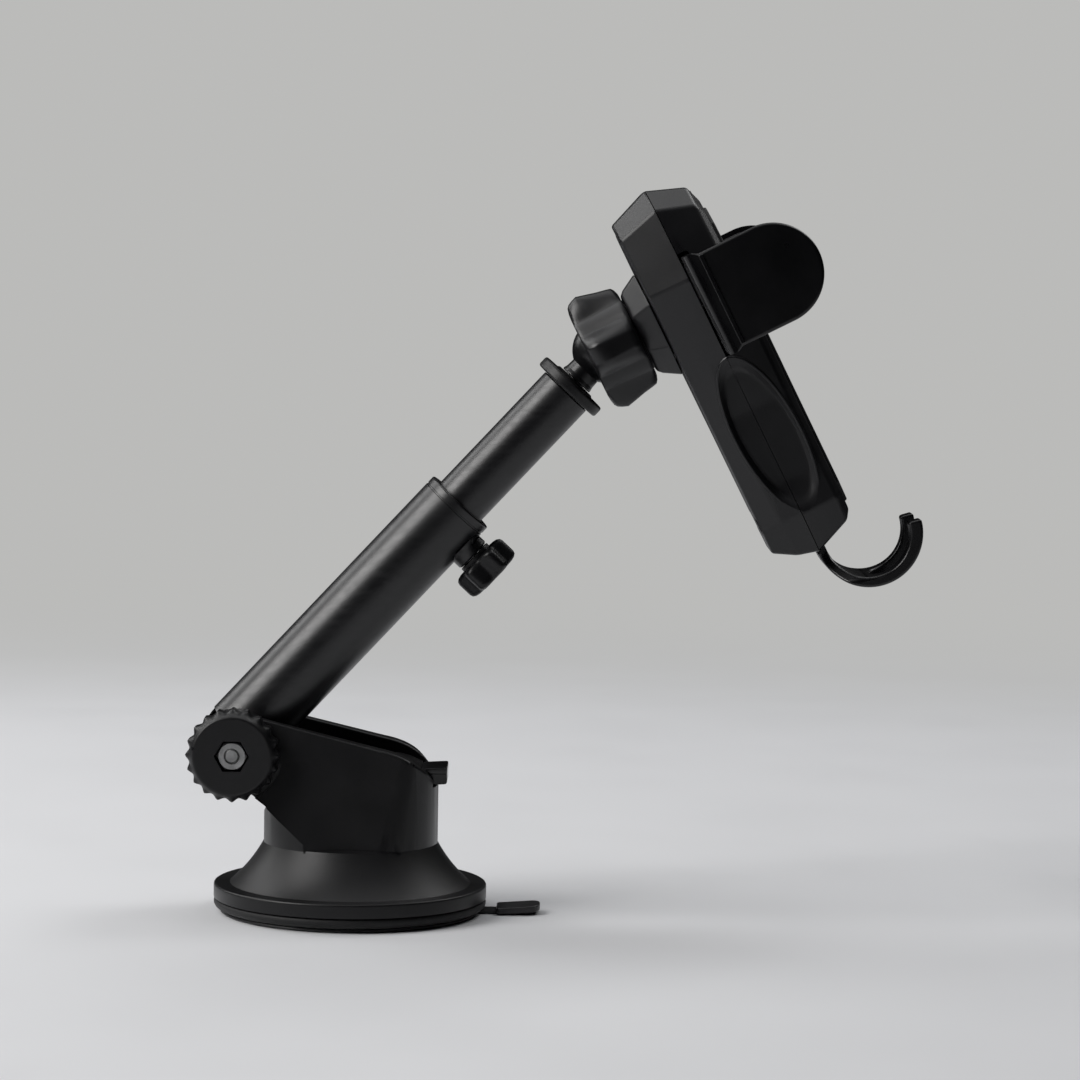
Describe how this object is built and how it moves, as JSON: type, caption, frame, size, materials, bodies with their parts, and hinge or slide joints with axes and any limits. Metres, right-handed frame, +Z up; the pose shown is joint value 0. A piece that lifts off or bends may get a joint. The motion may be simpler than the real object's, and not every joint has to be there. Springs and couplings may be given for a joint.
{
  "type": "car phone mount",
  "caption": "Suction-base phone mount with a lever-locked cup, telescopic arm, ball head and gravity cradle whose foot draws the side clamps in.",
  "frame": {"origin": "centre of the sticky pad's flat underside", "axes": "+Z up out of the surface it sticks to, +X towards the side the arm leans to, +Y away from the pivot knob"},
  "size_m": [0.1901, 0.0946, 0.1916],
  "materials": {
    "black_housing": "fine spark texture",
    "satin_tube": "smooth satin",
    "gloss_black": "semi-gloss",
    "black_rubber": "matt rubber",
    "zinc_steel": "zinc plated",
    "brass": "machined"
  },
  "bodies": {
    "base": {"base_housing": "black_housing", "suction_cup": "black_rubber", "gel_pad": "black_rubber", "lever_pin": "zinc_steel", "pivot_bolt": "zinc_steel", "friction_washer_near": "black_rubber", "friction_washer_far": "black_rubber"},
    "lever": {"cam_lever": "gloss_black"},
    "plunger": {"plunger": "gloss_black"},
    "pivot_knob": {"pivot_knob": "black_housing", "pivot_nut": "zinc_steel"},
    "arm": {"outer_tube": "satin_tube", "tube_bushing": "gloss_black", "clamp_insert": "brass"},
    "thumb_screw": {"thumb_knob": "black_housing", "clamp_screw": "zinc_steel"},
    "extension": {"inner_tube": "satin_tube", "tube_end_cap": "black_housing"},
    "ball_stud": {"ball_stud": "gloss_black"},
    "ball_liner": {"ball_liner": "gloss_black"},
    "cradle": {"ball_socket": "black_housing", "back_shell": "black_housing", "front_shell": "black_housing", "front_pad": "black_rubber", "return_spring": "zinc_steel", "shell_screw_1": "zinc_steel", "shell_screw_2": "zinc_steel", "shell_screw_3": "zinc_steel", "shell_screw_4": "zinc_steel", "hub_screw_1": "zinc_steel", "hub_screw_2": "zinc_steel", "hub_screw_3": "zinc_steel"},
    "ring_nut": {"ring_nut": "black_housing"},
    "foot": {"slider_plate": "gloss_black", "foot_hook": "gloss_black", "foot_screw_1": "zinc_steel", "foot_screw_2": "zinc_steel"},
    "clamp_near": {"clamp_arm_near": "gloss_black", "arm_pad_near": "black_rubber"},
    "clamp_far": {"clamp_arm_far": "gloss_black", "arm_pad_far": "black_rubber"}
  },
  "joints": [
    {"name": "lever_lift", "type": "hinge", "parent": "base", "child": "lever", "pos_m": [0.0013, 0, 0.03], "axis": [0, -1, 0], "range_deg": [0, 80]},
    {"name": "plunger_drop", "type": "slide", "parent": "base", "child": "plunger", "axis": [0, 0, -1], "range_m": [0, 0.0021]},
    {"name": "arm_pivot", "type": "hinge", "parent": "base", "child": "arm", "pos_m": [-0.0298, 0, 0.0435], "axis": [0, 1, 0], "range_deg": [-115, 4]},
    {"name": "knob_turn", "type": "hinge", "parent": "base", "child": "pivot_knob", "pos_m": [-0.0298, 0, 0.0435], "axis": [0, -1, 0], "range_deg": [0, 360]},
    {"name": "tube_slide", "type": "slide", "parent": "arm", "child": "extension", "axis": [0.6782, 0, 0.7349], "range_m": [-0.038, 0.012]},
    {"name": "thumb_screw_turn", "type": "hinge", "parent": "arm", "child": "thumb_screw", "pos_m": [0.02238, 0, 0.10285], "axis": [0.7349, 0, -0.6782], "range_deg": [0, 360]},
    {"name": "ball_spin", "type": "hinge", "parent": "extension", "child": "ball_stud", "pos_m": [0.06497, 0, 0.149], "axis": [0.6782, 0, 0.7349], "range_deg": [-180, 180]},
    {"name": "ball_tilt", "type": "hinge", "parent": "ball_stud", "child": "ball_liner", "pos_m": [0.06497, 0, 0.149], "axis": [0, 1, 0], "range_deg": [-45, 5]},
    {"name": "cradle_roll", "type": "hinge", "parent": "ball_liner", "child": "cradle", "pos_m": [0.06497, 0, 0.149], "axis": [0.891, 0, 0.454], "range_deg": [-180, 180]},
    {"name": "ring_nut_turn", "type": "hinge", "parent": "cradle", "child": "ring_nut", "pos_m": [0.06497, 0, 0.149], "axis": [0.891, 0, 0.454], "range_deg": [0, 180]},
    {"name": "foot_slide", "type": "slide", "parent": "cradle", "child": "foot", "axis": [0.454, 0, -0.891], "range_m": [0, 0.013], "stiffness_N_per_m": 60, "springref_m": -0.008, "deforming": ["return_spring"]},
    {"name": "clamp_near_slide", "type": "slide", "parent": "cradle", "child": "clamp_near", "axis": [0, 1, 0], "range_m": [0, 0.013]},
    {"name": "clamp_far_slide", "type": "slide", "parent": "cradle", "child": "clamp_far", "axis": [0, -1, 0], "range_m": [0, 0.013]}
  ],
  "couplings": [
    {"joint": "plunger_drop", "follows": "lever_lift", "m_per_rad": 0.0014732},
    {"joint": "clamp_near_slide", "follows": "foot_slide", "ratio": 1},
    {"joint": "clamp_far_slide", "follows": "foot_slide", "ratio": 1}
  ]
}
